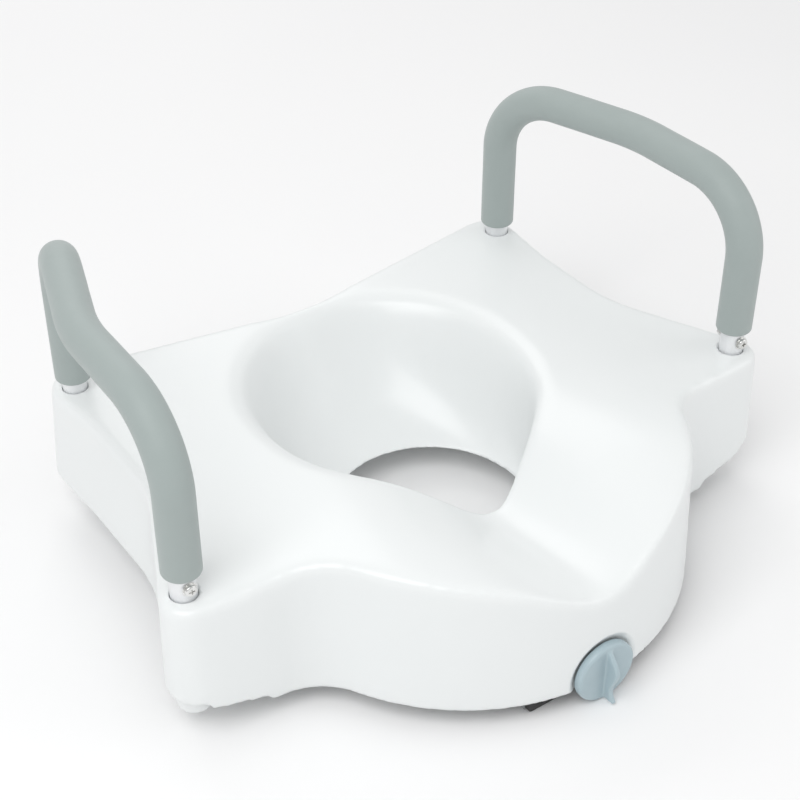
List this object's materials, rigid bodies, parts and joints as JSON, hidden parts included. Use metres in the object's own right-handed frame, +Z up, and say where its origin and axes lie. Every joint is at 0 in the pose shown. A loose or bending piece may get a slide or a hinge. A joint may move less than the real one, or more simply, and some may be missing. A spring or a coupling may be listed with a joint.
{
  "type": "raised toilet seat",
  "caption": "White moulded seat riser with an open bowl and front channel, two padded lift-out arms on bent tubes, and a front knob that drives a clamp under the skirt.",
  "frame": {"origin": "centre of the bounding box's footprint, on the level of the lowest point (the knob's lower edge)", "axes": "+Z up, -Y to the front of the seat (the knob side), +X to the right as seen from the front; the body is symmetric about X = 0"},
  "size_m": [0.567, 0.4689, 0.2876],
  "materials": {
    "white_body": "white blow-moulded polyethylene, satin gloss",
    "arm_tube": "satin anodised tube",
    "foam_grip": "grey closed-cell foam with a smooth skin",
    "end_plug": "black plastic",
    "black_rubber": "black rubber",
    "knob_plastic": "blue-grey moulded plastic",
    "clamp_steel": "grey painted steel plate",
    "zinc_steel": "bright zinc-plated steel"
  },
  "bodies": {
    "seat": {"seat_shell": "white_body", "guide_screws": "zinc_steel", "guide_washers": "zinc_steel", "rim_pads": "black_rubber"},
    "left_arm": {"arm_tube_left": "arm_tube", "arm_grip_left": "foam_grip", "arm_plugs_left": "end_plug", "arm_screw_left": "zinc_steel", "arm_washer_left": "zinc_steel", "arm_nut_left": "zinc_steel"},
    "right_arm": {"arm_tube_right": "arm_tube", "arm_grip_right": "foam_grip", "arm_plugs_right": "end_plug", "arm_screw_right": "zinc_steel", "arm_washer_right": "zinc_steel", "arm_nut_right": "zinc_steel"},
    "knob": {"lock_knob": "knob_plastic", "lock_rod": "zinc_steel", "knob_washer": "zinc_steel", "rod_washer": "zinc_steel", "rod_clip": "zinc_steel"},
    "clamp": {"clamp_bracket": "clamp_steel", "clamp_nut": "zinc_steel", "clamp_pad": "black_rubber", "pad_rivets": "zinc_steel"}
  },
  "joints": [
    {"name": "left_arm_lift", "type": "slide", "parent": "seat", "child": "left_arm", "axis": [0, 0, 1], "range_m": [0, 0.115]},
    {"name": "right_arm_lift", "type": "slide", "parent": "seat", "child": "right_arm", "axis": [0, 0, 1], "range_m": [0, 0.115]},
    {"name": "knob_turn", "type": "hinge", "parent": "seat", "child": "knob", "pos_m": [0, -0.21949, 0.0265], "axis": [0, -1, 0], "range_deg": [0, 5040]},
    {"name": "clamp_slide", "type": "slide", "parent": "seat", "child": "clamp", "axis": [0, 1, 0], "range_m": [0, 0.042]}
  ],
  "couplings": [
    {"joint": "clamp_slide", "follows": "knob_turn", "m_per_rad": 0.00047746}
  ]
}
